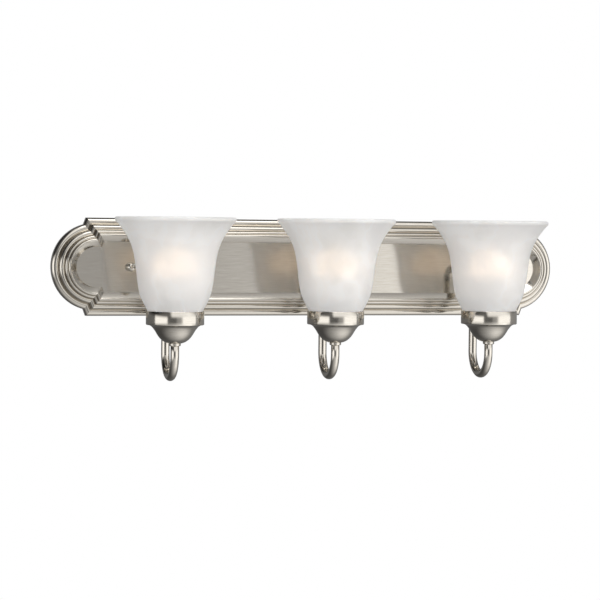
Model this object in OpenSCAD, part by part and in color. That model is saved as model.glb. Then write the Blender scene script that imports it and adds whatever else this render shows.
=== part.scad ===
// Three-light vanity bar. Wall plane is Y = 0, the front faces -Y, Z is up, X runs along the wall.
// Origin: centre of the mounting bar's middle hole, in the wall plane.

/* [Backplate] */
// Overall width across the round ends
plate_w = 609.6; // [560:0.1:660]
// Height of the straight middle section
plate_h = 112; // [100:1:124]
// Radius of the round ends
end_r = 50; // [44:0.5:54]
// Half length of the straight section at its outer corners
corner_x = 265; // [255:1:275]
// Angle that the moulding turns through where the straight section steps down to a round end
return_turn = 70; // [60:1:80]
// Width of the reeded moulding from the outer edge to the flat panel
moulding_w = 27.2; // [24:0.1:30]
// Height of the flat panel above the wall
panel_y = 18; // [14:0.5:22]
// Metal thickness of the panel
panel_t = 1.5; // [0.8:0.1:2]

/* [Lights] */
// Distance between neighbouring lights
light_pitch = 184; // [170:1:200]
// Distance from the wall to each shade's axis
light_y = 114.3; // [100:0.1:130]

/* [Arms] */
// Outer diameter of the arm tube
tube_d = 9.52; // [8:0.01:12]
// Wall thickness of the arm tube
tube_wall = 1.2; // [0.8:0.1:1.6]
// Distance between the rear leg and the front leg of an arm
leg_gap = 50.8; // [44:0.1:56]
// Centreline radius of the bend from the panel into the rear leg
bend_r = 20; // [14:0.5:24]
// Height of the hook's lowest point
hook_z = -125; // [-140:1:-115]
// Distance that the arm's rear end stops short of the wall
arm_end_y = 8; // [6:0.5:12]

/* [Cups and sockets] */
// Outer radius of the cup's straight band
cup_r = 32; // [28:0.5:36]
// Height of the cup's upper rim
cup_top = -46; // [-50:0.5:-42]
// Height of the cup's underside
cup_bottom = -81.5; // [-90:0.5:-78]
// Metal thickness of the cup
cup_t = 1.2; // [0.8:0.1:1.6]
// Outer radius of the socket body
socket_r = 17.5; // [16:0.1:19]
// Height of the shoulder that the glass rests on
seat_z = -52; // [-54:0.5:-50]

/* [Shades] */
// Widest radius of the glass rim
rim_r = 66.6; // [60:0.1:72]
// Height of the glass rim
rim_z = 57; // [50:0.5:64]
// Radius of the hole in the bottom of the glass
glass_hole_r = 20.6; // [19:0.1:22]
// Thickness of the glass bottom
glass_floor = 4; // [3:0.1:5]

/* [Lamps] */
// Radius of the lamp bulb
bulb_r = 24; // [22:0.5:30]
// Height of the bulb's centre
bulb_z = 3; // [-4:0.5:16]
// Radius of the lamp cap
cap_r = 13; // [12.5:0.1:13.2]
// Height of the lamp's contact tip
lamp_foot_z = -61.2; // [-64:0.1:-58]

/* [Mounting] */
// Length of the mounting bar
bar_l = 460; // [446:1:480]
// Width of the mounting bar
bar_w = 38; // [30:1:44]
// Thickness of the mounting bar
bar_t = 2; // [1.5:0.1:3]
// Distance of each stud from the middle
stud_x = 216; // [200:1:222]
// Spacing of the outlet box screw holes
box_spacing = 88.9; // [82:0.1:102]
// Spacing of the wall anchor holes
anchor_spacing = 406.4; // [380:0.1:420]
// Radius of the middle hole in the bar
centre_hole_r = 6; // [4:0.5:8]
// Diameter of each ball nut
ball_d = 10.4; // [9:0.1:13]

/* [Hidden] */
$fn = 64;
light_x = [-light_pitch, 0, light_pitch];
half_h = plate_h / 2;
end_x = plate_w / 2 - end_r;
tube_r = tube_d / 2;
bore_r = tube_r - tube_wall;

// Reeds of the moulding: distance in at the start and the end, height at the start and the end
reeds = [[0, 8.1, 3.5, 11], [8.1, 14.1, 11, 18], [14.1, 17.6, 18, 21.5], [17.6, 20.5, 21.5, 24.2]];
reed_line = [for (r = reeds) for (b = [0:15:75])
    [r[0] + (r[1] - r[0]) * (1 - cos(b)), r[2] + (r[3] - r[2]) * sin(b)]];
moulding_lap = 1;
// Clear space behind the moulding: distance in, height
hollow_line = [[1.5, -1], [1.5, 5.2], [2.4, 7], [4, 8.8], [7.8, 9.4], [9.7, 9.4], [9.8, 13], [10.8, 14.8],
    [12.2, 16], [13.8, 16.3], [15.6, 16.8], [15.8, 18.6], [17.2, 19.8], [19.2, 20.3], [19.6, 22.2],
    [20.4, 22.4], [26.2, 16.5], [29, 16.5], [29, -1]];
// Mitres: how far the first one runs along the bar for each millimetre across the moulding
mitre_slope = tan(return_turn / 2);
return_dir = [cos(180 + return_turn), sin(180 + return_turn)];
return_in = [cos(270 + return_turn), sin(270 + return_turn)];
ring_start = 62;
// Small steps that the sections make at the two mitres, where one stands inside the other
return_step = [0.06, 0, 0];
ring_step = [0.2, 0];
panel_hole_r = 5;
stud_hole_r = 2.4;

// Arm path
hook_r = leg_gap / 2;
hook_centre_z = hook_z + hook_r + tube_r;
rear_leg_y = light_y - leg_gap;
bend_y = rear_leg_y - bend_r;
arm_top = -73;

// Cup outline below the band: radius, height
cup_curve = [[cup_r, cup_top - 14.4], [cup_r - 0.5, cup_top - 15.3], [27.4, -62.1], [24.6, -64.4],
    [22.8, -66.6], [20.1, -71.1], [17.2, -75.4], [13.6, -79], [9.9, -80.8], [7.4, cup_bottom]];
cup_inside = [[cup_r - cup_t, cup_top - 15], [26.2, -61.4], [23.4, -63.8], [21.6, -66.2],
    [18.9, -70.7], [16, -74.6], [12.6, -78], [10, -79.9], [8.2, cup_bottom + cup_t]];
cup_hole_r = tube_r + 0.04;
collar_h = 3;
collar_r = 6.5;
nut_h = 3.6;
nut_r = 8;
washer_t = 0.8;
washer_r = 8.6;

// Shade outline: radius, height
shade_outside = [[28.2, seat_z], [30, -47], [30.8, -44.8], [34.7, -37.7], [38.6, -29.8], [41.5, -17.1],
    [43.5, 1.8], [46.2, 19.1], [50.5, 31], [55.6, 39.8], [63, 49.9], [66, 53], [rim_r, 54.6],
    [66.2, 56.3], [64.8, rim_z]];
shade_inside = [[62.6, 56.6], [60.6, 54.6], [58.6, 52.2], [51.4, 42.2], [46.5, 33.2], [42.4, 20.2],
    [39.7, 2.4], [37.7, -16.3], [34.9, -27.8], [31, -35.4], [27, -42.6], [25.6, seat_z + glass_floor]];

gasket_t = 1.2;
gasket_r = 24;
ring_h = 6.8;
ring_r = 23.4;
ring_bore_r = socket_r + 0.08;
shoulder_h = 2;
shoulder_r = 23;
socket_top = -35;
socket_step_z = -64;
socket_neck_r = 12.5;
socket_foot_z = -75.8;
well_r = 14.3;
well_floor_z = -60.4;
shell_t = 0.45;
contact_r = 4.1;
contact_t = 1.2;
contact_z = lamp_foot_z - 0.1;

cap_top = -36;
cap_foot_z = -56;
cap_t = 0.4;
foot_top_z = -59.4;
glass_t = 0.8;
// Angle from straight down at which the bulb's round part meets its neck
bulb_angle = 50;
bulb_neck = [[12.6, -40], [12.6, cap_top], [13.4, -30], [15.2, -21.5]];
bulb_neck_inside = [[11.8, -39.2], [11.8, -36.2], [12.6, -30.2], [14.5, -21.3]];

stud_r = 2.1;
stud_end_y = 27;
stud_nut_r = 4.6;
stud_nut_h = 3.2;
ball_washer_r = 4.8;
ball_seat_r = 3.6;
ball_bore_r = stud_r + 0.06;
ball_bore_h = 9;
wire_r = 1;
wire_off = 1.3;
wire_lap = 0.6;
connector_r = 4.2;
connector_tip_r = 2.6;
connector_bore_r = 1.35;
wire_run_z = 15;
wire_run_y = 6.35;
ground_x = 64;
ground_y = 8;
ground_z = -12.2;

// Turns a shape drawn flat on the wall, rising along +Z, to stand on the wall and rise along -Y
module on_wall() {
    rotate([90, 0, 0]) children();
}

// Moves a shape to the axis of light n
module at_light(n) {
    translate([light_x[n - 1], -light_y, 0]) children();
}

// Section of the moulding: x is the distance from the middle, y is the height above the wall
module moulding(edge) {
    translate([edge, 0]) mirror([1, 0]) polygon(concat([[0, 0]], reed_line, [reeds_end(),
        [moulding_w, panel_y], [moulding_w + moulding_lap, panel_y], [moulding_w + moulding_lap, 0]]));
}

function reeds_end() = [reeds[3][1], reeds[3][3]];

// Section of the clear space behind the moulding
module moulding_hollow(edge) {
    translate([edge, 0]) mirror([1, 0]) polygon(hollow_line);
}

// Runs a section along the bar's length, from -l/2 to l/2
module along(l) {
    rotate([90, 0, 90]) translate([0, 0, -l / 2]) linear_extrude(l) children();
}

// Copies a shape from the top left corner to all four corners
module four_corners() {
    for (s = [0, 1], t = [0, 1]) mirror([s, 0, 0]) mirror([0, t, 0]) children();
}

// Point of the first mitre, t in from the edge
function mitre_1(t) = [-corner_x + t * mitre_slope, half_h - t];

// Point where the return meets the round end, t in from the edge
function mitre_2(t) = let(p = [end_x - corner_x, half_h] + t * return_in, k = -p * return_dir)
    [-end_x, 0] + p + (k - sqrt(k * k - p * p + pow(end_r - t, 2))) * return_dir;

// Point on the line through both ends of the second mitre
function mitre_2_line(t) = mitre_2(0) + (mitre_2(moulding_w) - mitre_2(0)) * t / moulding_w - ring_step;

// The area of the wall between the four corners' points a (outer) and b (inner)
module between(a, b) {
    translate([0, 0, -2]) linear_extrude(40) polygon([a, [-a[0], a[1]], [-b[0], b[1]], [-b[0], -b[1]],
        [-a[0], -a[1]], [a[0], -a[1]], [b[0], -b[1]], b]);
}

// The area of one return, between its two mitres
module return_area() {
    translate([0, 0, -2]) linear_extrude(40)
        polygon([mitre_1(-5), mitre_2_line(-5), mitre_2_line(30), mitre_1(30)]);
}

// Runs a section of the moulding, given for edge half_h, 0 and end_r, all the way round
module all_round() {
    intersection() {
        for (s = [0, 1]) mirror([0, s, 0]) along(2 * corner_x + 12) children(0);
        between(mitre_1(-5), mitre_1(30));
    }
    four_corners() intersection() {
        translate([-corner_x, half_h, 0] + return_step) rotate([0, 0, return_turn]) along(90) children(1);
        return_area();
    }
    difference() {
        for (s = [0, 1]) mirror([s, 0, 0]) translate([-end_x, 0, 0])
            rotate_extrude(angle = 360 - 2 * ring_start, start = ring_start) children(2);
        between(mitre_2_line(-5), mitre_2_line(30));
    }
}

module flat_panel() {
    inner_r = end_r - moulding_w + moulding_lap;
    inner_h = half_h - moulding_w + moulding_lap;
    straight_x = corner_x - moulding_w * mitre_slope + 3;
    translate([-straight_x, -inner_h, panel_y - panel_t]) cube([2 * straight_x, 2 * inner_h, panel_t]);
    for (x = [-end_x, end_x]) translate([x, 0, panel_y - panel_t]) cylinder(r = inner_r, h = panel_t);
    translate([-end_x, -inner_r, panel_y - panel_t]) cube([2 * end_x, 2 * inner_r, panel_t]);
}

module panel_hollow() {
    inner_r = end_r - moulding_w - 0.5;
    inner_h = half_h - moulding_w - 1.2;
    straight_x = corner_x - moulding_w * mitre_slope - 2;
    depth = panel_y - panel_t + 1;
    translate([-straight_x, -inner_h, -1]) cube([2 * straight_x, 2 * inner_h, depth]);
    for (x = [-end_x, end_x]) translate([x, 0, -1]) cylinder(r = inner_r, h = depth);
    translate([-end_x, -inner_r + 1, -1]) cube([2 * end_x, 2 * inner_r - 2, depth]);
}

module backplate() {
    color("silver") on_wall() difference() {
        union() {
            all_round() {
                moulding(half_h);
                moulding(0);
                moulding(end_r);
            }
            flat_panel();
        }
        all_round() {
            moulding_hollow(half_h);
            moulding_hollow(0);
            moulding_hollow(end_r);
        }
        panel_hollow();
        for (x = light_x) translate([x, 0, 0]) cylinder(r = panel_hole_r, h = 30);
        for (x = [-stud_x, stud_x]) translate([x, 0, 0]) cylinder(r = stud_hole_r, h = 30);
    }
}

module mounting_bar() {
    color("lightgray") on_wall() difference() {
        translate([-bar_l / 2, -bar_w / 2, 0]) cube([bar_l, bar_w, bar_t]);
        translate([0, 0, -1]) cylinder(r = centre_hole_r, h = 6);
        for (s = [-1, 1]) {
            translate([s * box_spacing / 2, 0, -1]) cylinder(r = 2.6, h = 6);
            translate([s * anchor_spacing / 2, 0, -1]) cylinder(r = 2.8, h = 6);
            translate([s * stud_x, 0, -1]) cylinder(r = stud_r, h = 6);
        }
        translate([18, -12, -1]) cylinder(r = 2.1, h = 6);
    }
}

module mounting_studs() {
    color("silver") on_wall() for (x = [-stud_x, stud_x])
        translate([x, 0, 0]) cylinder(r = stud_r, h = stud_end_y);
}

module stud_lock_nuts() {
    color("silver") on_wall() for (x = [-stud_x, stud_x])
        translate([x, 0, bar_t]) difference() {
            cylinder(r = stud_nut_r, h = stud_nut_h, $fn = 6);
            translate([0, 0, -1]) cylinder(r = stud_r, h = stud_nut_h + 2);
        }
}

module ground_screw() {
    color("green") on_wall() translate([18, -12, 0]) difference() {
        union() {
            cylinder(r = 2.1, h = bar_t + 1);
            translate([0, 0, bar_t]) cylinder(r = 4.2, h = 2.4);
        }
        translate([-5, -0.5, bar_t + 1.4]) cube([10, 1, 2]);
    }
}

// An eight-sided wire through a list of points, each length running a little past its ends
module wire(points) {
    for (k = [0:len(points) - 2]) {
        d = points[k + 1] - points[k];
        l = norm(d);
        translate(points[k]) rotate([0, acos(d[2] / l), atan2(d[1], d[0])])
            translate([0, 0, -wire_lap]) cylinder(r = wire_r, h = l + 2 * wire_lap, $fn = 8);
    }
}

module ground_wire() {
    color("sandybrown") {
        wire([[18, -5.5, -12], [34, -7, -9.6], [ground_x - 6, -ground_y, -10.6],
            [ground_x, -ground_y, ground_z]]);
        wire([[ground_x, -ground_y, ground_z], [ground_x, -ground_y, ground_z + 9]]);
    }
}

// Centreline of one arm, swept with a round section of radius r
module arm_sweep(r, from_y, to_z) {
    translate([0, -bend_y, 0]) rotate([-90, 0, 0]) cylinder(r = r, h = bend_y - from_y);
    translate([0, -bend_y, -bend_r]) rotate([0, -90, 0]) rotate_extrude(angle = 90, start = -90)
        translate([bend_r, 0]) circle(r = r);
    translate([0, -rear_leg_y, hook_centre_z]) cylinder(r = r, h = -bend_r - hook_centre_z);
    translate([0, -rear_leg_y - hook_r, hook_centre_z]) rotate([0, 90, 0])
        rotate_extrude(angle = 180, start = -90) translate([hook_r, 0]) circle(r = r);
    translate([0, -light_y, hook_centre_z]) cylinder(r = r, h = to_z - hook_centre_z);
}

module arm(n) {
    color("silver") translate([light_x[n - 1], 0, 0]) difference() {
        arm_sweep(tube_r, arm_end_y, arm_top);
        arm_sweep(bore_r, arm_end_y - 1, arm_top + 1);
    }
}

// Two leads in an arm, one on each side of the arm's middle plane
module arm_lead(side) {
    for (x = light_x) translate([x + side * wire_off, 0, 0]) arm_sweep(wire_r, arm_end_y - 0.6, arm_top);
}

// Leads of every arm joined to one run along the bar at height z
module lead_set(side, z) {
    arm_lead(side);
    for (x = light_x) wire([[x + side * wire_off, -5.9, 0], [x + side * wire_off, -wire_run_y, z]]);
    wire([[light_x[0] + side * wire_off, -wire_run_y, z], [light_x[2] + side * wire_off, -wire_run_y, z]]);
}

module line_wires() {
    color("black") lead_set(-1, wire_run_z);
}

module neutral_wires() {
    color("white") lead_set(1, -wire_run_z);
}

// Tapered wire connector standing on z = 0, open for its wire up to height depth
module connector(h, depth) {
    difference() {
        cylinder(r1 = connector_r, r2 = connector_tip_r, h = h);
        translate([0, 0, -1]) cylinder(r = connector_bore_r, h = depth + 1);
    }
}

module wire_connectors() {
    color("gold") {
        for (z = [-wire_run_z, wire_run_z])
            translate([-60, -wire_run_y, z]) rotate([0, 90, 0]) connector(16, 17);
        translate([ground_x, -ground_y, ground_z + 2]) connector(13, 9);
    }
}

module arm_collars() {
    color("silver") for (x = light_x) translate([x, -panel_y, 0]) rotate([90, 0, 0]) rotate_extrude()
        polygon([[cup_hole_r, 0], [10, 0], [10, 1.4], [8.6, 2.6], [7.4, 3.4], [6.6, 5], [cup_hole_r, 5]]);
}

module arm_lock_washers() {
    color("lightgray") for (x = light_x) translate([x, -panel_y + panel_t, 0]) rotate([-90, 0, 0])
        difference() {
            cylinder(r = washer_r, h = washer_t);
            translate([0, 0, -1]) cylinder(r = cup_hole_r, h = washer_t + 2);
        }
}

// Hex nut on the arm tube, standing on z = 0
module tube_nut() {
    difference() {
        cylinder(r = nut_r, h = nut_h, $fn = 6);
        translate([0, 0, -1]) cylinder(r = cup_hole_r, h = nut_h + 2);
    }
}

module arm_lock_nuts() {
    color("lightgray") for (x = light_x)
        translate([x, -panel_y + panel_t + washer_t, 0]) rotate([-90, 0, 0]) tube_nut();
}

module cup_collars() {
    color("silver") for (n = [1:3]) at_light(n) translate([0, 0, cup_bottom - collar_h]) rotate_extrude()
        polygon([[cup_hole_r, 0], [collar_r - 0.8, 0], [collar_r, 0.8], [collar_r, collar_h - 0.6],
            [collar_r - 0.5, collar_h], [cup_hole_r, collar_h]]);
}

module cup_lock_nuts() {
    color("lightgray") for (n = [1:3]) at_light(n) translate([0, 0, cup_bottom + cup_t]) tube_nut();
}

module cup(n) {
    outer_rim = [cup_r, cup_top];
    inner_rim = [cup_r - cup_t, cup_top];
    last = len(cup_inside) - 1;
    color("silver") at_light(n) rotate_extrude()
        polygon(concat([inner_rim, outer_rim], cup_curve, [[cup_hole_r, cup_bottom],
            [cup_hole_r, cup_bottom + cup_t]], [for (k = [0:last]) cup_inside[last - k]]));
}

module socket_body(n) {
    color("dimgray") at_light(n) difference() {
        union() {
            translate([0, 0, socket_foot_z]) cylinder(r = socket_neck_r, h = socket_step_z - socket_foot_z + 1);
            translate([0, 0, socket_step_z]) cylinder(r = socket_r, h = socket_top - socket_step_z);
            translate([0, 0, seat_z - shoulder_h]) cylinder(r = shoulder_r, h = shoulder_h);
        }
        translate([0, 0, well_floor_z]) cylinder(r = well_r, h = 30);
        translate([0, 0, contact_z - contact_t]) cylinder(r = contact_r, h = 6);
        translate([0, 0, socket_foot_z - 1]) cylinder(r = cup_hole_r, h = arm_top - socket_foot_z + 1.2);
        for (s = [-1, 1]) translate([s * wire_off, 0, arm_top - 1]) cylinder(r = wire_r, h = 8);
    }
}

module socket_shell(n) {
    color("gold") at_light(n) translate([0, 0, well_floor_z + 0.8]) difference() {
        cylinder(r = well_r, h = 22);
        translate([0, 0, -1]) cylinder(r = well_r - shell_t, h = 24);
    }
}

module socket_contact(n) {
    color("gold") at_light(n) translate([0, 0, contact_z - contact_t]) cylinder(r = contact_r, h = contact_t);
}

module shade(n) {
    floor_in = [glass_hole_r, seat_z + glass_floor];
    floor_out = [glass_hole_r, seat_z];
    color("ivory") at_light(n) rotate_extrude()
        polygon(concat([floor_out], shade_outside, shade_inside, [floor_in]));
}

module shade_gasket(n) {
    color("white") at_light(n) translate([0, 0, seat_z + glass_floor]) difference() {
        cylinder(r = gasket_r, h = gasket_t);
        translate([0, 0, -1]) cylinder(r = ring_bore_r, h = gasket_t + 2);
    }
}

module shade_ring(n) {
    color("dimgray") at_light(n) translate([0, 0, seat_z + glass_floor + gasket_t]) difference() {
        union() {
            cylinder(r = ring_r, h = 2.4);
            cylinder(r = ring_r - 2.4, h = ring_h);
        }
        translate([0, 0, -1]) cylinder(r = ring_bore_r, h = ring_h + 2);
        for (a = [0:60:300]) rotate([0, 0, a]) translate([ring_r + 0.6, 0, -1]) cylinder(r = 1.6, h = ring_h);
    }
}

module lamp_foot(n) {
    color("silver") at_light(n) translate([0, 0, lamp_foot_z])
        cylinder(r1 = 3, r2 = 4.6, h = foot_top_z - lamp_foot_z);
}

module lamp_base(n) {
    color("gainsboro") at_light(n) rotate_extrude()
        polygon([[0, foot_top_z], [4.6, foot_top_z], [11, cap_foot_z], [cap_r, cap_foot_z + 1], [cap_r, cap_top],
            [cap_r - cap_t, cap_top], [cap_r - cap_t, -41], [0, -41]]);
}

// Half section of the bulb: a neck that runs up into a circle of radius r
module bulb_section(neck, r) {
    join = [r * sin(bulb_angle), bulb_z - r * cos(bulb_angle)];
    polygon(concat([[0, neck[0][1]]], neck, [join, [0, join[1]]]));
    intersection() {
        translate([0, bulb_z]) circle(r = r);
        translate([0, join[1]]) square([r + 1, 2 * r]);
    }
}

module lamp_glass(n) {
    color("white") at_light(n) rotate_extrude() difference() {
        bulb_section(bulb_neck, bulb_r);
        bulb_section(bulb_neck_inside, bulb_r - glass_t);
    }
}

module lamp_filament(n) {
    color("orange") at_light(n) {
        translate([0, 0, -39]) cylinder(r1 = 4, r2 = 2, h = 22);
        for (s = [-1, 1]) translate([0, 0, -17.6]) rotate([0, s * 20, 0]) cylinder(r = 0.4, h = 22);
        translate([-7.4, 0, bulb_z]) rotate([0, 90, 0]) cylinder(r = 0.6, h = 14.8);
    }
}

module nut_washer(x) {
    color("silver") on_wall() translate([x, 0, panel_y]) difference() {
        cylinder(r = ball_washer_r, h = washer_t);
        translate([0, 0, -1]) cylinder(r = stud_r + 0.3, h = washer_t + 2);
    }
}

module ball_nut(x) {
    seat = panel_y + washer_t;
    lift = sqrt(ball_d * ball_d / 4 - ball_seat_r * ball_seat_r);
    color("silver") on_wall() translate([x, 0, seat]) difference() {
        intersection() {
            translate([0, 0, lift]) sphere(d = ball_d);
            translate([-ball_d, -ball_d, 0]) cube([2 * ball_d, 2 * ball_d, 2 * ball_d]);
        }
        translate([0, 0, -1]) cylinder(r = ball_bore_r, h = ball_bore_h + 1 - 0.6);
    }
}

backplate();
mounting_bar();
mounting_studs();
stud_lock_nuts();
ground_screw();
ground_wire();
line_wires();
neutral_wires();
wire_connectors();
arm_collars();
arm_lock_washers();
arm_lock_nuts();
cup_collars();
cup_lock_nuts();
nut_washer(-stud_x);  // nut_washer_1
nut_washer(stud_x);  // nut_washer_2
ball_nut(-stud_x);  // ball_nut_1
ball_nut(stud_x);  // ball_nut_2
arm(1);  // arm_1
arm(2);  // arm_2
arm(3);  // arm_3
cup(1);  // cup_1
cup(2);  // cup_2
cup(3);  // cup_3
socket_body(1);  // socket_body_1
socket_body(2);  // socket_body_2
socket_body(3);  // socket_body_3
socket_shell(1);  // socket_shell_1
socket_shell(2);  // socket_shell_2
socket_shell(3);  // socket_shell_3
socket_contact(1);  // socket_contact_1
socket_contact(2);  // socket_contact_2
socket_contact(3);  // socket_contact_3
shade(1);  // shade_1
shade(2);  // shade_2
shade(3);  // shade_3
shade_gasket(1);  // shade_gasket_1
shade_gasket(2);  // shade_gasket_2
shade_gasket(3);  // shade_gasket_3
shade_ring(1);  // shade_ring_1
shade_ring(2);  // shade_ring_2
shade_ring(3);  // shade_ring_3
lamp_foot(1);  // lamp_foot_1
lamp_foot(2);  // lamp_foot_2
lamp_foot(3);  // lamp_foot_3
lamp_base(1);  // lamp_base_1
lamp_base(2);  // lamp_base_2
lamp_base(3);  // lamp_base_3
lamp_glass(1);  // lamp_glass_1
lamp_glass(2);  // lamp_glass_2
lamp_glass(3);  // lamp_glass_3
lamp_filament(1);  // lamp_filament_1
lamp_filament(2);  // lamp_filament_2
lamp_filament(3);  // lamp_filament_3
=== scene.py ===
import math
import bpy
from mathutils import Matrix, Vector


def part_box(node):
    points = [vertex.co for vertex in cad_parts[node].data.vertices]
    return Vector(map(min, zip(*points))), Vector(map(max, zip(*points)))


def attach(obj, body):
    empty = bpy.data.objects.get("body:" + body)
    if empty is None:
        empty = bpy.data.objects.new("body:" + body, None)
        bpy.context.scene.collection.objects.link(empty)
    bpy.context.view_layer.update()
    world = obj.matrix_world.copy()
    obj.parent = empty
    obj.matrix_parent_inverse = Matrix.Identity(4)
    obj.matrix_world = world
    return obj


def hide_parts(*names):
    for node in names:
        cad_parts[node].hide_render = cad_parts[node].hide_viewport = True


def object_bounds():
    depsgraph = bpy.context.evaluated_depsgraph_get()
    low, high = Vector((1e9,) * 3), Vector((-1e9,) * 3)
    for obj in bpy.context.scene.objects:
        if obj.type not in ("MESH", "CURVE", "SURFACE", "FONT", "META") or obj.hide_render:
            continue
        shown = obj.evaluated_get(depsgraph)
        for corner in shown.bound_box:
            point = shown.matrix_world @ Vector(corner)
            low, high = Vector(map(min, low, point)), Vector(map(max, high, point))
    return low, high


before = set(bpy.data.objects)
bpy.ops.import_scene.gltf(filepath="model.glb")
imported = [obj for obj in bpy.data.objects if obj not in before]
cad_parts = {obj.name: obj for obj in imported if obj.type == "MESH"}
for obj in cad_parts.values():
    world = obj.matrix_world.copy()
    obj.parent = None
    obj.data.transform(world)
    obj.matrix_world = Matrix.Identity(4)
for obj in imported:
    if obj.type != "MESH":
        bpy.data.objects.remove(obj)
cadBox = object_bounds()
mm = 0.001


def middleOf(node):
    low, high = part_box(node)
    return [(low[k] + high[k]) / 2 for k in range(3)]


# The view: a long lens, a little to the left of the bar's middle and just above it
cameraSetup = {
    "place": (-0.62712, -2.18375, 0.0413),
    "yaw": 15.794, "pitch": 2.002, "roll": 0.594,   # degrees
    "lens": 115.58,
}


def placeCamera(setup):
    data = bpy.data.cameras.new("viewCamera")
    camera = bpy.data.objects.new("viewCamera", data)
    bpy.context.scene.collection.objects.link(camera)
    data.lens = setup["lens"]
    data.sensor_width = 36
    data.clip_start, data.clip_end = 0.05, 60
    yaw, pitch, roll = (math.radians(setup[k]) for k in ("yaw", "pitch", "roll"))
    forward = Vector((math.sin(yaw) * math.cos(pitch), math.cos(yaw) * math.cos(pitch), -math.sin(pitch)))
    right = Vector((math.cos(yaw), -math.sin(yaw), 0))
    up = right.cross(forward)
    turn = Matrix.Rotation(-roll, 3, forward)
    axes = Matrix((turn @ right, turn @ up, -forward)).transposed()
    camera.matrix_world = Matrix.Translation(setup["place"]) @ axes.to_4x4()
    bpy.context.scene.camera = camera


placeCamera(cameraSetup)
print("camera placed")


def toLinear(hexColour, alpha=1.0):
    values = [int(hexColour[k:k + 2], 16) / 255 for k in (1, 3, 5)]
    return tuple(v / 12.92 if v <= 0.04045 else ((v + 0.055) / 1.055) ** 2.4 for v in values) + (alpha,)


def addNode(tree, kind, settings=None, links=None):
    node = tree.nodes.new(kind)
    for key, value in (settings or {}).items():
        if key in node.inputs.keys() or isinstance(key, int):
            node.inputs[key].default_value = value
        else:
            setattr(node, key, value)
    for key, source in (links or {}).items():
        tree.links.new(source, node.inputs[key])
    return node


def newMaterial(name, settings):
    material = bpy.data.materials.new(name)
    material.use_nodes = True
    tree = material.node_tree
    tree.nodes.clear()
    surface = addNode(tree, "ShaderNodeBsdfPrincipled", settings)
    addNode(tree, "ShaderNodeOutputMaterial", links={"Surface": surface.outputs[0]})
    place = addNode(tree, "ShaderNodeTexCoord").outputs["Object"]
    return material, tree, surface, place


def setRamp(ramp, stops):
    elements = ramp.color_ramp.elements
    while len(elements) > 1:
        elements.remove(elements[-1])
    elements[0].position, elements[0].color = stops[0]
    for position, colour in stops[1:]:
        elements.new(position).color = colour


# Satin nickel on pressed steel: wire-brushed along the bar, then clear lacquered. Warm grey, with a soft
# mirror image of what stands before it. Brush lines are about 1 mm apart, wider than real ones, so that they show.
def brushedNickel(name, roughness, lines, lineDepth):
    material, tree, surface, place = newMaterial(name, {
        "Metallic": 1.0, "Roughness": roughness, "Coat Weight": 0.25, "Coat Roughness": 0.08})
    grain = addNode(tree, "ShaderNodeMapping", {"Scale": lines}, {"Vector": place})
    brush = addNode(tree, "ShaderNodeTexNoise", {"Scale": 1.0, "Detail": 3.0, "Roughness": 0.6},
                    {"Vector": grain.outputs[0]})
    tone = addNode(tree, "ShaderNodeValToRGB", links={"Fac": brush.outputs["Fac"]})
    setRamp(tone, [(0.3, toLinear("#c0bab0")), (0.7, toLinear("#c9c4bb"))])
    rough = addNode(tree, "ShaderNodeMapRange", {"To Min": roughness - 0.02, "To Max": roughness + 0.02},
                    {"Value": brush.outputs["Fac"]})
    bump = addNode(tree, "ShaderNodeBump", {"Strength": 0.05, "Distance": lineDepth},
                   {"Height": brush.outputs["Fac"]})
    tree.links.new(tone.outputs[0], surface.inputs["Base Color"])
    tree.links.new(rough.outputs[0], surface.inputs["Roughness"])
    tree.links.new(bump.outputs[0], surface.inputs["Normal"])
    return material


plateNickel = brushedNickel("satinNickelPlate", 0.12, (60, 900, 900), 0.00002)
tubeNickel = brushedNickel("satinNickelTube", 0.12, (900, 900, 60), 0.00002)
cupNickel = brushedNickel("spunNickelCup", 0.14, (60, 60, 1200), 0.00002)


# Alabaster glass: opal glass streaked with white while molten, then etched. Pale neutral white, with faint
# clouds and a few hair-thin veins; it lets some light straight through, so a lit lamp shows as a soft warm spot.
# The glass also has a weak painted glow: an even emission in its own vein colours that brightens the whole shade.
def alabasterGlass(name):
    material, tree, surface, place = newMaterial(name, {
        "Roughness": 0.38, "IOR": 1.45, "Subsurface Weight": 0.2, "Subsurface Scale": 0.004,
        "Subsurface Radius": (1.0, 0.9, 0.8), "Transmission Weight": 0.34,
        "Coat Weight": 0.1, "Coat Roughness": 0.12, "Emission Strength": 0.12})
    warp = addNode(tree, "ShaderNodeTexNoise", {"Scale": 16.0, "Detail": 4.0}, {"Vector": place})
    shifted = addNode(tree, "ShaderNodeVectorMath", {"operation": "MULTIPLY_ADD", 1: (0.05, 0.05, 0.05)},
                      {0: warp.outputs["Color"], 2: place})
    stretch = addNode(tree, "ShaderNodeMapping", {"Scale": (24, 24, 15)}, {"Vector": shifted.outputs[0]})
    cloud = addNode(tree, "ShaderNodeTexNoise", {"Scale": 1.0, "Detail": 4.0, "Roughness": 0.5},
                    {"Vector": stretch.outputs[0]})
    veinsAndPaintedGlow = addNode(tree, "ShaderNodeValToRGB", links={"Fac": cloud.outputs["Fac"]})
    setRamp(veinsAndPaintedGlow, [(0.34, toLinear("#ecebea")), (0.485, toLinear("#f0efee")), (0.5, toLinear("#fafaf9")),
                    (0.53, toLinear("#f1f0ef")), (0.66, toLinear("#e9e8e6"))])
    tree.links.new(veinsAndPaintedGlow.outputs[0], surface.inputs["Base Color"])
    # Painted glow: the vein colours also feed the emission, so the glass shines a little by itself, as if more light
    # fell on it
    tree.links.new(veinsAndPaintedGlow.outputs[0], surface.inputs["Emission Color"])
    return material


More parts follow.
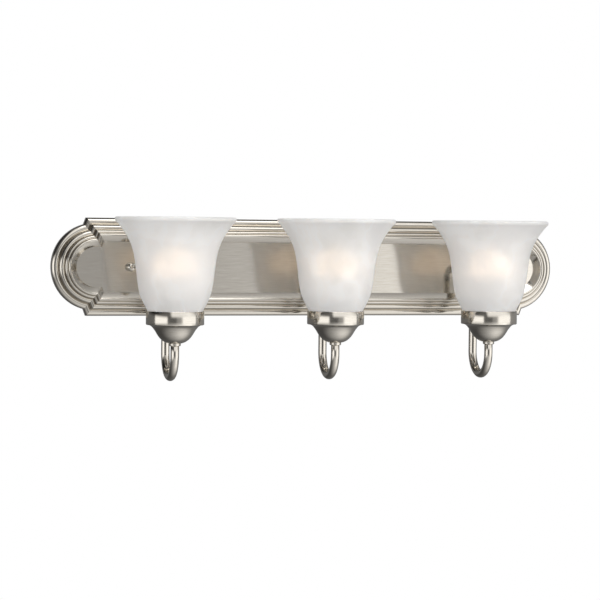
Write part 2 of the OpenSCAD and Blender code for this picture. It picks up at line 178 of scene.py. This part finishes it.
# A plain finish with a little cloudy variation in tone and roughness, for moulded, plated and drawn parts
def toned(name, dark, light, settings, scale=400.0, bumpDepth=0.00001):
    material, tree, surface, place = newMaterial(name, settings)
    patch = addNode(tree, "ShaderNodeTexNoise", {"Scale": scale, "Detail": 4.0}, {"Vector": place})
    tone = addNode(tree, "ShaderNodeValToRGB", links={"Fac": patch.outputs["Fac"]})
    setRamp(tone, [(0.3, toLinear(dark)), (0.7, toLinear(light))])
    bump = addNode(tree, "ShaderNodeBump", {"Strength": 0.3, "Distance": bumpDepth},
                   {"Height": patch.outputs["Fac"]})
    tree.links.new(tone.outputs[0], surface.inputs["Base Color"])
    tree.links.new(bump.outputs[0], surface.inputs["Normal"])
    return material


zincSteel = toned("zincPlatedSteel", "#a6a8aa", "#c4c6c8", {"Metallic": 1.0, "Roughness": 0.34})
greenScrew = toned("greenDyedScrew", "#1f6b33", "#2d8644", {"Metallic": 0.7, "Roughness": 0.35})
bareCopper = toned("bareCopper", "#b06a42", "#c98258", {"Metallic": 1.0, "Roughness": 0.3})
blackPvc = toned("blackPvcInsulation", "#161616", "#222222", {"Roughness": 0.45})
whitePvc = toned("whitePvcInsulation", "#dcdad4", "#eae8e2", {"Roughness": 0.45})
orangeCap = toned("mouldedConnector", "#d06a1c", "#e07c2c", {"Roughness": 0.35})
phenolic = toned("pressedPhenolic", "#191614", "#26211d", {"Roughness": 0.42}, 900.0)
stampedBrass = toned("stampedBrass", "#b08d46", "#c7a560", {"Metallic": 1.0, "Roughness": 0.28})
pressedFibre = toned("pressedFibre", "#cfc6b4", "#ded7c8", {"Roughness": 0.85}, 1500.0, 0.00005)
solderTip = toned("tinSolder", "#a3a4a4", "#c2c3c3", {"Metallic": 1.0, "Roughness": 0.38})
rolledCap = toned("rolledAluminiumCap", "#bdbcb8", "#d3d2ce", {"Metallic": 1.0, "Roughness": 0.25})
litTungsten = toned("litTungsten", "#ffd9a0", "#ffe4b8", {"Roughness": 0.5, "Emission Strength": 6.0,
                    "Emission Color": toLinear("#ffd9a0")})
# Bulb glass frosted inside: white, and lit from the filament, so its round part glows and its neck doesn't
frostedBulb = toned("frostedBulbGlass", "#f2eee6", "#fbf8f2", {"Roughness": 0.3,
                    "Emission Color": toLinear("#ffdcb4")}, 120.0)


# Heights in mm between which the glow grows from nothing to its full strength
bulbGlow = {"from": -16, "to": 0, "strength": 2.4}


def lightBulb(material, glow):
    tree = material.node_tree
    place = addNode(tree, "ShaderNodeTexCoord").outputs["Object"]
    height = addNode(tree, "ShaderNodeSeparateXYZ", links={0: place})
    lit = addNode(tree, "ShaderNodeMapRange", {
        "From Min": glow["from"] * mm, "From Max": glow["to"] * mm, "To Max": glow["strength"],
        "interpolation_type": "SMOOTHSTEP"}, {"Value": height.outputs[2]})
    surface = next(node for node in tree.nodes if node.type == "BSDF_PRINCIPLED")
    tree.links.new(lit.outputs[0], surface.inputs["Emission Strength"])


lightBulb(frostedBulb, bulbGlow)
alabaster = alabasterGlass("alabasterGlass")
print("materials made")


mergeDistance = 1e-6


def editNew():
    if bpy.context.object and bpy.context.object.mode != "OBJECT":
        bpy.ops.object.mode_set(mode="OBJECT")
    bpy.ops.object.select_all(action="DESELECT")


def drawLine(name, points):
    editNew()
    bpy.ops.mesh.primitive_plane_add(size=0.0001, location=points[0])
    piece = bpy.context.object
    piece.name = name
    bpy.ops.object.mode_set(mode="EDIT")
    bpy.ops.mesh.select_all(action="SELECT")
    bpy.ops.mesh.merge(type="CENTER")
    for start, end in zip(points, points[1:]):
        step = tuple(b - a for a, b in zip(start, end))
        bpy.ops.mesh.extrude_vertices_move(TRANSFORM_OT_translate={"value": step})
    bpy.ops.mesh.select_all(action="SELECT")
    bpy.ops.mesh.remove_doubles(threshold=mergeDistance)
    return piece


def closeUp(piece, smoothAngle=40):
    bpy.ops.mesh.select_all(action="SELECT")
    bpy.ops.mesh.remove_doubles(threshold=mergeDistance)
    bpy.ops.mesh.normals_make_consistent(inside=False)
    bpy.ops.object.mode_set(mode="OBJECT")
    bpy.ops.object.select_all(action="DESELECT")
    piece.select_set(True)
    bpy.context.view_layer.objects.active = piece
    bpy.ops.object.transform_apply(location=True, rotation=True, scale=True)
    bpy.ops.object.shade_smooth_by_angle(angle=math.radians(smoothAngle))
    return piece


def turned(name, outline, axisPlace, steps=96, smoothAngle=40):
    # outline: (radius, height) in mm, closed here and spun about a vertical axis
    points = [(axisPlace[0] + r * mm, axisPlace[1], z * mm) for r, z in outline]
    piece = drawLine(name, points + points[:1])
    bpy.ops.mesh.spin(steps=steps, angle=2 * math.pi, center=axisPlace, axis=(0, 0, 1))
    return closeUp(piece, smoothAngle)


def softened(points, rounds=2):
    # Cuts each inner corner of an open line, so that a few points give a flowing curve
    for _ in range(rounds):
        cut = [points[0]]
        for a, b in zip(points, points[1:]):
            cut.append(tuple(0.75 * p + 0.25 * q for p, q in zip(a, b)))
            cut.append(tuple(0.25 * p + 0.75 * q for p, q in zip(a, b)))
        cut.append(points[-1])
        points = cut
    return points


def finish(piece, body, slotName, material, *nodes):
    piece.data.materials.clear()
    piece.data.materials.append(material)
    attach(piece, body)
    if nodes:
        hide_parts(*nodes)
    return piece


def joined(name, pieces):
    bpy.ops.object.select_all(action="DESELECT")
    for piece in pieces:
        piece.select_set(True)
    bpy.context.view_layer.objects.active = pieces[0]
    bpy.ops.object.join()
    pieces[0].name = name
    return pieces[0]


# The pan: one pressing whose moulding steps in at each corner, through a short mitred return, to a round end
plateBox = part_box("backplate")
plate = {
    "endRadius": 50, "cornerX": 265, "returnTurn": 70, "ringStart": 62, "mouldingWidth": 27.2, "panelLift": 18,
    # reeds: distance in from the edge, height of the centre, radius
    "reeds": [(4.6, 6.4, 4.6), (11.3, 14.8, 3.2), (16.0, 19.55, 1.95), (19.3, 22.8, 1.7)],
    "bevelStart": 20.5,
    "hollow": [(1.5, 0), (1.5, 6.4), (3.2, 9.2), (6, 9.2), (7.2, 7.6), (9.9, 7.6), (9.9, 14.6), (15.7, 14.6),
               (15.7, 18.2), (19.2, 18.2), (19.2, 21), (20.2, 21), (26.2, 16.6), (27, 16.6)],
    "panelRim": 26.4, "panelThickness": 1.5,
    # how far the bevel's foot stands off the panel, and how far the lengths run on before they are cut
    "bevelFoot": 0.15, "straightOverrun": 10, "returnLead": 40, "returnLength": 90,
    "ringSteps": 96, "panelSteps": 24, "smoothAngle": 30,
}
halfWidth = plateBox[1][0] / mm
halfHeight = plateBox[1][2] / mm
endX = halfWidth - plate["endRadius"]
turnAngle = math.radians(plate["returnTurn"])
# Along a return and across it, as (X, Z) of the top left corner
returnWay = Vector((-math.cos(turnAngle), -math.sin(turnAngle)))
returnIn = Vector((math.sin(turnAngle), -math.cos(turnAngle)))


def mouldingFront():
    # Front line of the moulding as (distance in, height), reed by reed
    line = [(0, 0)]
    reeds = plate["reeds"]
    for k, (centre, lift, radius) in enumerate(reeds):
        stop = reeds[k + 1][0] - reeds[k + 1][2] if k + 1 < len(reeds) else plate["bevelStart"]
        endAngle = math.acos((centre - stop) / radius)
        count = max(6, round(radius * 4))
        for j in range(count + 1):
            angle = endAngle * j / count
            line.append((centre - radius * math.cos(angle), lift + radius * math.sin(angle)))
    line.append((plate["mouldingWidth"], plate["panelLift"] - plate["bevelFoot"]))
    return line


mouldingLine = mouldingFront() + plate["hollow"][::-1]


def firstMitre(inward):
    return Vector((-plate["cornerX"] + inward * math.tan(turnAngle / 2), halfHeight - inward))


def secondMitre(inward):
    spot = Vector((endX - plate["cornerX"], halfHeight)) + inward * returnIn
    along = -spot.dot(returnWay)
    reach = along - math.sqrt(along ** 2 - spot.length_squared + (plate["endRadius"] - inward) ** 2)
    return Vector((-endX, 0)) + spot + reach * returnWay


def mitreCut(mitre, facing):
    # Plane through both ends of a mitre; facing 1 looks down and left, along the return
    first, last = mitre(0), mitre(plate["mouldingWidth"])
    line = (last - first).normalized()
    normal = Vector((line.y, 0, -line.x))
    if normal.x * returnWay.x + normal.z * returnWay.y < 0:
        normal = -normal
    return (first.x * mm, 0, first.y * mm), facing * normal


def cutAt(spot, normal):
    bpy.ops.mesh.select_all(action="SELECT")
    bpy.ops.mesh.bisect(plane_co=spot, plane_no=normal, use_fill=True, clear_outer=True)


def mouldingLength(name, start, inWay, way, length, cuts):
    # start, inWay and way are (X, Z): where the edge starts, which way is in, and which way it runs
    points = []
    for inward, lift in mouldingLine:
        spot = start + inward * inWay
        points.append((spot.x * mm, -lift * mm, spot.y * mm))
    piece = drawLine(name, points + points[:1])
    bpy.ops.mesh.edge_face_add()
    bpy.ops.mesh.extrude_region_move(
        TRANSFORM_OT_translate={"value": (way.x * length * mm, 0, way.y * length * mm)})
    for spot, normal in cuts:
        cutAt(spot, normal)
    return closeUp(piece, plate["smoothAngle"])


def mirrored(piece, acrossX, acrossZ):
    twin = piece.copy()
    twin.data = piece.data.copy()
    bpy.context.scene.collection.objects.link(twin)
    bpy.ops.object.select_all(action="DESELECT")
    twin.select_set(True)
    bpy.context.view_layer.objects.active = twin
    for flip, axes in ((acrossX, (True, False, False)), (acrossZ, (False, False, True))):
        if flip:
            bpy.ops.transform.mirror(orient_type="GLOBAL", constraint_axis=axes, center_override=(0, 0, 0))
    bpy.ops.object.transform_apply(location=True, rotation=True, scale=True)
    bpy.ops.object.mode_set(mode="EDIT")
    return closeUp(twin, plate["smoothAngle"])


def rightOf(cut):
    # The same cut at the right end
    return (-cut[0][0], 0, cut[0][2]), Vector((-cut[1].x, 0, cut[1].z))


def buildPlate():
    span = plate["cornerX"] + plate["straightOverrun"]
    straightCut = mitreCut(firstMitre, 1)
    top = mouldingLength("mouldingStraight", Vector((-span, halfHeight)), Vector((0, -1)), Vector((1, 0)), 2 * span,
                         [straightCut, rightOf(straightCut)])
    corner = Vector((-plate["cornerX"], halfHeight))
    step = mouldingLength("mouldingReturn", corner - plate["returnLead"] * returnWay, returnIn, returnWay,
                          plate["returnLength"], [mitreCut(firstMitre, -1), mitreCut(secondMitre, 1)])
    points = []
    begin = math.radians(plate["ringStart"])
    for inward, lift in mouldingLine:
        radius = plate["endRadius"] - inward
        points.append(((radius * math.cos(begin) - endX) * mm, -lift * mm, radius * math.sin(begin) * mm))
    ring = drawLine("mouldingRound", points + points[:1])
    bpy.ops.mesh.spin(steps=plate["ringSteps"], angle=2 * (math.pi - begin), center=(-endX * mm, 0, 0),
                      axis=(0, 1, 0))
    upper = mitreCut(secondMitre, -1)
    cutAt(*upper)
    cutAt((upper[0][0], 0, -upper[0][2]), Vector((upper[1].x, 0, -upper[1].z)))
    closeUp(ring, plate["smoothAngle"])
    parts = [top, step, ring, mirrored(top, False, True), mirrored(step, True, False), mirrored(step, False, True),
             mirrored(step, True, True), mirrored(ring, True, False), buildPanel()]
    return joined("backplateShell", parts)


def buildPanel():
    # The flat panel, its rim just under the foot of the moulding's bevel
    rim = plate["panelRim"]
    corner, shoulder = firstMitre(rim), secondMitre(rim)
    begin = math.atan2(shoulder.y, shoulder.x + endX)
    quarter = [(corner.x, corner.y)]
    for j in range(plate["panelSteps"] + 1):
        angle = begin + (math.pi - begin) * j / plate["panelSteps"]
        quarter.append((-endX + (plate["endRadius"] - rim) * math.cos(angle),
                        (plate["endRadius"] - rim) * math.sin(angle)))
    leftHalf = quarter + [(x, -z) for x, z in quarter[-2::-1]]
    outline = leftHalf + [(-x, z) for x, z in leftHalf[::-1]]
    points = [(x * mm, -plate["panelLift"] * mm, z * mm) for x, z in outline]
    piece = drawLine("flatPanel", points + points[:1])
    bpy.ops.mesh.edge_face_add()
    bpy.ops.mesh.extrude_region_move(TRANSFORM_OT_translate={"value": (0, plate["panelThickness"] * mm, 0)})
    return closeUp(piece, plate["smoothAngle"])


finish(buildPlate(), "fixture", "satin_nickel_plate", plateNickel, "backplate")
print("backplate built")

# The arms: round tube bent back, down and up again in a hook, with thin walls
armSizes = {"tube": 4.76, "wall": 1.2, "bendRadius": 20, "legGap": 50.8, "endAboveCup": 8.5,
            "sides": 40, "bendSteps": 18, "hookSteps": 36}


def buildArm(number):
    low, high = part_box(f"arm_{number}")
    x = (low[0] + high[0]) / 2
    tube = armSizes["tube"] * mm
    bend, hook = armSizes["bendRadius"] * mm, armSizes["legGap"] / 2 * mm
    frontY = low[1] + tube
    rearY = frontY + 2 * hook
    rearEnd = high[1]
    hookZ = low[2] + tube + hook
    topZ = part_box(f"cup_{number}")[0][2] + armSizes["endAboveCup"] * mm
    editNew()
    bpy.ops.mesh.primitive_circle_add(vertices=armSizes["sides"], radius=tube, location=(x, rearEnd, 0),
                                      rotation=(math.pi / 2, 0, 0))
    piece = bpy.context.object
    piece.name = f"armTube{number}"
    bpy.ops.object.transform_apply(location=True, rotation=True, scale=True)
    bpy.ops.object.mode_set(mode="EDIT")
    bpy.ops.mesh.select_all(action="SELECT")
    bpy.ops.mesh.extrude_region_move(TRANSFORM_OT_translate={"value": (0, rearY + bend - rearEnd, 0)})
    bpy.ops.mesh.spin(steps=armSizes["bendSteps"], angle=-math.pi / 2, center=(x, rearY + bend, -bend),
                      axis=(1, 0, 0))
    bpy.ops.mesh.extrude_region_move(TRANSFORM_OT_translate={"value": (0, 0, hookZ + bend)})
    bpy.ops.mesh.spin(steps=armSizes["hookSteps"], angle=math.pi, center=(x, rearY - hook, hookZ),
                      axis=(1, 0, 0))
    bpy.ops.mesh.extrude_region_move(TRANSFORM_OT_translate={"value": (0, 0, topZ - hookZ)})
    closeUp(piece, 50)
    wall = piece.modifiers.new("wall", "SOLIDIFY")
    wall.thickness = armSizes["wall"] * mm
    wall.offset = -1
    bpy.ops.object.modifier_apply(modifier="wall")
    return finish(piece, "fixture", "satin_nickel_tube", tubeNickel, f"arm_{number}")


for number in (1, 2, 3):
    buildArm(number)
print("arms built")

cupSizes = {
    # outside from the rim down, then inside back up: radius, height
    "outside": [(32, -46.5), (32, -60.2), (31.8, -60.9), (31.3, -61.2), (29.4, -61.3), (27.6, -62.0), (26.0, -63.0),
                (24.6, -64.5), (22.8, -66.8), (21.4, -69), (20.0, -71.4), (18.6, -73.6), (16.9, -75.8),
                (14.6, -78), (12.2, -79.7), (9.9, -80.8), (7.4, -81.5), (4.8, -81.5)],
    "inside": [(4.8, -80.3), (9.3, -79.7), (12.6, -77.8), (16, -74.6), (18.9, -70.7), (21.6, -66.2), (23.4, -63.9),
               (26.2, -61.5), (30.2, -60.2), (30.8, -59.4), (30.8, -46.4), (31.1, -46.05), (31.7, -46.05)],
}


def buildCup(number):
    centre = middleOf(f"cup_{number}")
    outline = cupSizes["outside"] + cupSizes["inside"]
    piece = turned(f"cupShell{number}", outline, (centre[0], centre[1], 0), 96, 35)
    return finish(piece, "fixture", "satin_nickel_cup", cupNickel, f"cup_{number}")


for number in (1, 2, 3):
    buildCup(number)
print("cups built")

collarSizes = {
    # outline of each: radius, then height for the cup's and rise from the panel for the arm's
    "cup": [(4.8, -84.5), (5.9, -84.5), (6.4, -84.1), (6.5, -83.6), (6.5, -82.0), (6.3, -81.6), (5.8, -81.5),
            (4.8, -81.5)],
    "arm": [(4.8, 0), (9.4, 0), (9.9, 0.3), (10, 0.8), (9.8, 1.4), (9.0, 2.3), (8.0, 2.9), (7.4, 3.5), (7.0, 4.4),
            (6.4, 4.9), (5.8, 5.0), (4.8, 5.0)],
    "sides": 64,
}


def buildCollars():
    cups, arms = [], []
    for number in (1, 2, 3):
        x, y = middleOf(f"cup_{number}")[:2]
        cups.append(turned("cupCollar", collarSizes["cup"], (x, y, 0), collarSizes["sides"]))
        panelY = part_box("arm_collars")[1][1]
        points = [(x + r * mm, panelY - rise * mm, 0) for r, rise in collarSizes["arm"]]
        piece = drawLine("armCollar", points + points[:1])
        bpy.ops.mesh.spin(steps=collarSizes["sides"], angle=2 * math.pi, center=(x, 0, 0), axis=(0, 1, 0))
        arms.append(closeUp(piece))
    finish(joined("cupCollars", cups), "fixture", "satin_nickel_tube", tubeNickel, "cup_collars")
    finish(joined("armCollars", arms), "fixture", "satin_nickel_tube", tubeNickel, "arm_collars")


buildCollars()

# The seat is slightly dished toward its middle, and its edge is broken
ballNut = {"radius": 5.2, "seat": 3.6, "seatDish": 0.02, "brokenEdge": 0.3, "sides": 48, "arcSteps": 20}


def buildBallNut(number):
    low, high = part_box(f"ball_nut_{number}")
    x, seatY = (low[0] + high[0]) / 2, high[1]
    radius, seat = ballNut["radius"], ballNut["seat"]
    lift = math.sqrt(radius * radius - seat * seat)
    start = math.asin(seat / radius)
    points = [(x, seatY - ballNut["seatDish"] * mm, 0), (x + (seat - ballNut["brokenEdge"]) * mm, seatY, 0)]
    for j in range(ballNut["arcSteps"] + 1):
        angle = start + (math.pi - start) * j / ballNut["arcSteps"]
        points.append((x + radius * math.sin(angle) * mm, seatY - (lift - radius * math.cos(angle)) * mm, 0))
    piece = drawLine(f"ballNut{number}", points)
    bpy.ops.mesh.spin(steps=ballNut["sides"], angle=2 * math.pi, center=(x, 0, 0), axis=(0, 1, 0))
    closeUp(piece)
    return finish(piece, f"nut_{number}", "satin_nickel_tube", tubeNickel, f"ball_nut_{number}")


for number in (1, 2):
    buildBallNut(number)
print("collars and nuts built")

shadeSizes = {
    "outside": [(28.2, -52), (30, -47), (31.2, -44), (34.7, -37.7), (38.6, -29.8), (41.5, -17.1), (43.5, 1.8),
                (46.2, 19.1), (50.5, 31), (55.6, 39.8), (62.2, 48.8), (65.8, 52.4)],
    "rim": [(66.6, 54.2), (66.5, 55.8), (65.6, 56.8), (64.2, 57.0), (62.8, 56.5)],
    "inside": [(60.6, 54.6), (58.2, 51.6), (51.4, 42.2), (46.5, 33.2), (42.4, 20.2), (39.7, 2.4), (37.7, -16.3),
               (34.9, -27.8), (31, -35.4), (27, -42.6), (25.6, -48)],
    "hole": [(20.6, -48), (20.6, -52)],
}


def buildShade(number):
    centre = middleOf(f"shade_{number}")
    outline = softened(shadeSizes["outside"]) + softened(shadeSizes["rim"]) + softened(shadeSizes["inside"])
    outline += shadeSizes["hole"]
    piece = turned(f"bellShade{number}", outline, (centre[0], centre[1], 0), 128, 50)
    return finish(piece, "fixture", "alabaster_glass", alabaster, f"shade_{number}")


for number in (1, 2, 3):
    buildShade(number)
print("shades built")

carried = {
    "mounting_bar": zincSteel, "mounting_studs": zincSteel, "stud_lock_nuts": zincSteel,
    "ground_screw": greenScrew, "ground_wire": bareCopper, "line_wires": blackPvc, "neutral_wires": whitePvc,
    "wire_connectors": orangeCap, "arm_lock_washers": zincSteel, "arm_lock_nuts": zincSteel,
    "cup_lock_nuts": zincSteel, "nut_washer_1": tubeNickel, "nut_washer_2": tubeNickel,
}
for number in (1, 2, 3):
    carried.update({
        f"socket_body_{number}": phenolic, f"socket_shell_{number}": stampedBrass,
        f"socket_contact_{number}": stampedBrass, f"shade_gasket_{number}": pressedFibre,
        f"shade_ring_{number}": phenolic, f"lamp_foot_{number}": solderTip, f"lamp_base_{number}": rolledCap,
        f"lamp_glass_{number}": frostedBulb, f"lamp_filament_{number}": litTungsten,
    })
for node, material in carried.items():
    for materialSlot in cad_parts[node].material_slots:
        materialSlot.material = material
print("carried pieces finished")

# The studio: a pale floor well below, soft light from tall panels left and right, and a dim middle
studio = {
    "floorDrop": 1.4, "floorSize": 8, "strength": 1.8,
    # brightness round the horizon: degrees from straight in front, toward the right
    "panels": [(-180, 0.10), (-100, 0.12), (-96, 0.9), (-93, 0.95), (-44, 0.95), (-40, 0.10), (-10, 0.09), (-4, 0.20),
               (0, 0.24), (10, 0.29), (15, 0.44), (20, 0.84), (23, 1.0), (34, 1.0), (76, 0.95), (80, 0.24),
               (110, 0.20), (180, 0.10)],
    # brightness above and below: from in front (-1) to behind (1), then a factor from left (-1) to right (1),
    # then the heights between which it takes over from the horizon
    "above": ([(-1, 0.74), (-0.6, 0.84), (-0.35, 0.62), (-0.15, 0.30), (0.02, 0.15), (0.2, 0.09), (1, 0.07)],
              [(-1, 0.12), (-0.5, 0.12), (-0.36, 1.0), (1, 1.0)], 0.14, 0.30),
    "below": ([(-1, 0.52), (-0.6, 0.54), (-0.3, 0.37), (0, 0.25), (0.15, 0.17), (0.4, 0.09), (1, 0.06)],
              [(-1, 0.45), (-0.4, 0.7), (0, 1.0), (0.5, 1.7), (0.8, 2.0), (1, 0.5)], -0.14, -0.32),
}


def buildStudio():
    editNew()
    bpy.ops.mesh.primitive_plane_add(size=studio["floorSize"], location=(0, 0, cadBox[0][2] - studio["floorDrop"]))
    floor = bpy.context.object
    floor.name = "paleFloor"
    bpy.ops.object.transform_apply(location=True, rotation=True, scale=True)
    floor.data.materials.append(toned("palePaper", "#e6e6e4", "#ededeb", {"Roughness": 0.9}, 3.0, 0.0001))
    floor.visible_glossy = False
    world = bpy.data.worlds.new("softStudio")
    bpy.context.scene.world = world
    world.use_nodes = True
    tree = world.node_tree
    tree.nodes.clear()
    way = addNode(tree, "ShaderNodeTexCoord").outputs["Generated"]
    parts = addNode(tree, "ShaderNodeSeparateXYZ", links={0: way})
    back = addNode(tree, "ShaderNodeMath", {"operation": "MULTIPLY", 1: -1.0}, {0: parts.outputs[1]})
    azimuth = addNode(tree, "ShaderNodeMath", {"operation": "ARCTAN2"}, {0: parts.outputs[0], 1: back.outputs[0]})
    turn = addNode(tree, "ShaderNodeMapRange", {"From Min": -math.pi, "From Max": math.pi},
                   {"Value": azimuth.outputs[0]})
    panels = addNode(tree, "ShaderNodeValToRGB", links={"Fac": turn.outputs[0]})
    setRamp(panels, [((angle + 180) / 360, (value, value, value, 1)) for angle, value in studio["panels"]])
    colour = panels.outputs[0]
    for level in ("above", "below"):
        depth, width, start, stop = studio[level]
        shades = []
        for output, stops in ((1, depth), (0, width)):
            along = addNode(tree, "ShaderNodeMapRange", {"From Min": -1.0, "From Max": 1.0},
                            {"Value": parts.outputs[output]})
            ramp = addNode(tree, "ShaderNodeValToRGB", links={"Fac": along.outputs[0]})
            setRamp(ramp, [((spot + 1) / 2, (value, value, value, 1)) for spot, value in stops])
            shades.append(ramp.outputs[0])
        both = addNode(tree, "ShaderNodeMixRGB", {"blend_type": "MULTIPLY", "Fac": 1.0},
                       {"Color1": shades[0], "Color2": shades[1]})
        amount = addNode(tree, "ShaderNodeMapRange", {"From Min": start, "From Max": stop},
                         {"Value": parts.outputs[2]})
        mix = addNode(tree, "ShaderNodeMixRGB", links={"Fac": amount.outputs[0], "Color1": colour,
                                                       "Color2": both.outputs[0]})
        colour = mix.outputs[0]
    light = addNode(tree, "ShaderNodeBackground", {"Strength": studio["strength"]}, {"Color": colour})
    plain = addNode(tree, "ShaderNodeBackground", {"Color": (1, 1, 1, 1), "Strength": 1.0})
    path = addNode(tree, "ShaderNodeLightPath")
    mix = addNode(tree, "ShaderNodeMixShader", links={0: path.outputs["Is Camera Ray"], 1: light.outputs[0],
                                                     2: plain.outputs[0]})
    addNode(tree, "ShaderNodeOutputWorld", links={"Surface": mix.outputs[0]})


softbox = {"place": (0, -1.2, 2.4), "aim": (0, 0, 0), "size": (1.6, 0.8), "power": 12}


def addSoftbox(setup):
    data = bpy.data.lights.new("topSoftbox", "AREA")
    data.shape = "RECTANGLE"
    data.size, data.size_y = setup["size"]
    data.energy = setup["power"]
    lamp = bpy.data.objects.new("topSoftbox", data)
    bpy.context.scene.collection.objects.link(lamp)
    lamp.location = setup["place"]
    toward = Vector(setup["aim"]) - Vector(setup["place"])
    lamp.rotation_euler = toward.to_track_quat("-Z", "Y").to_euler()


buildStudio()
addSoftbox(softbox)
view = bpy.context.scene.view_settings
view.view_transform = "Standard"
view.look = "None"
print("studio lit")
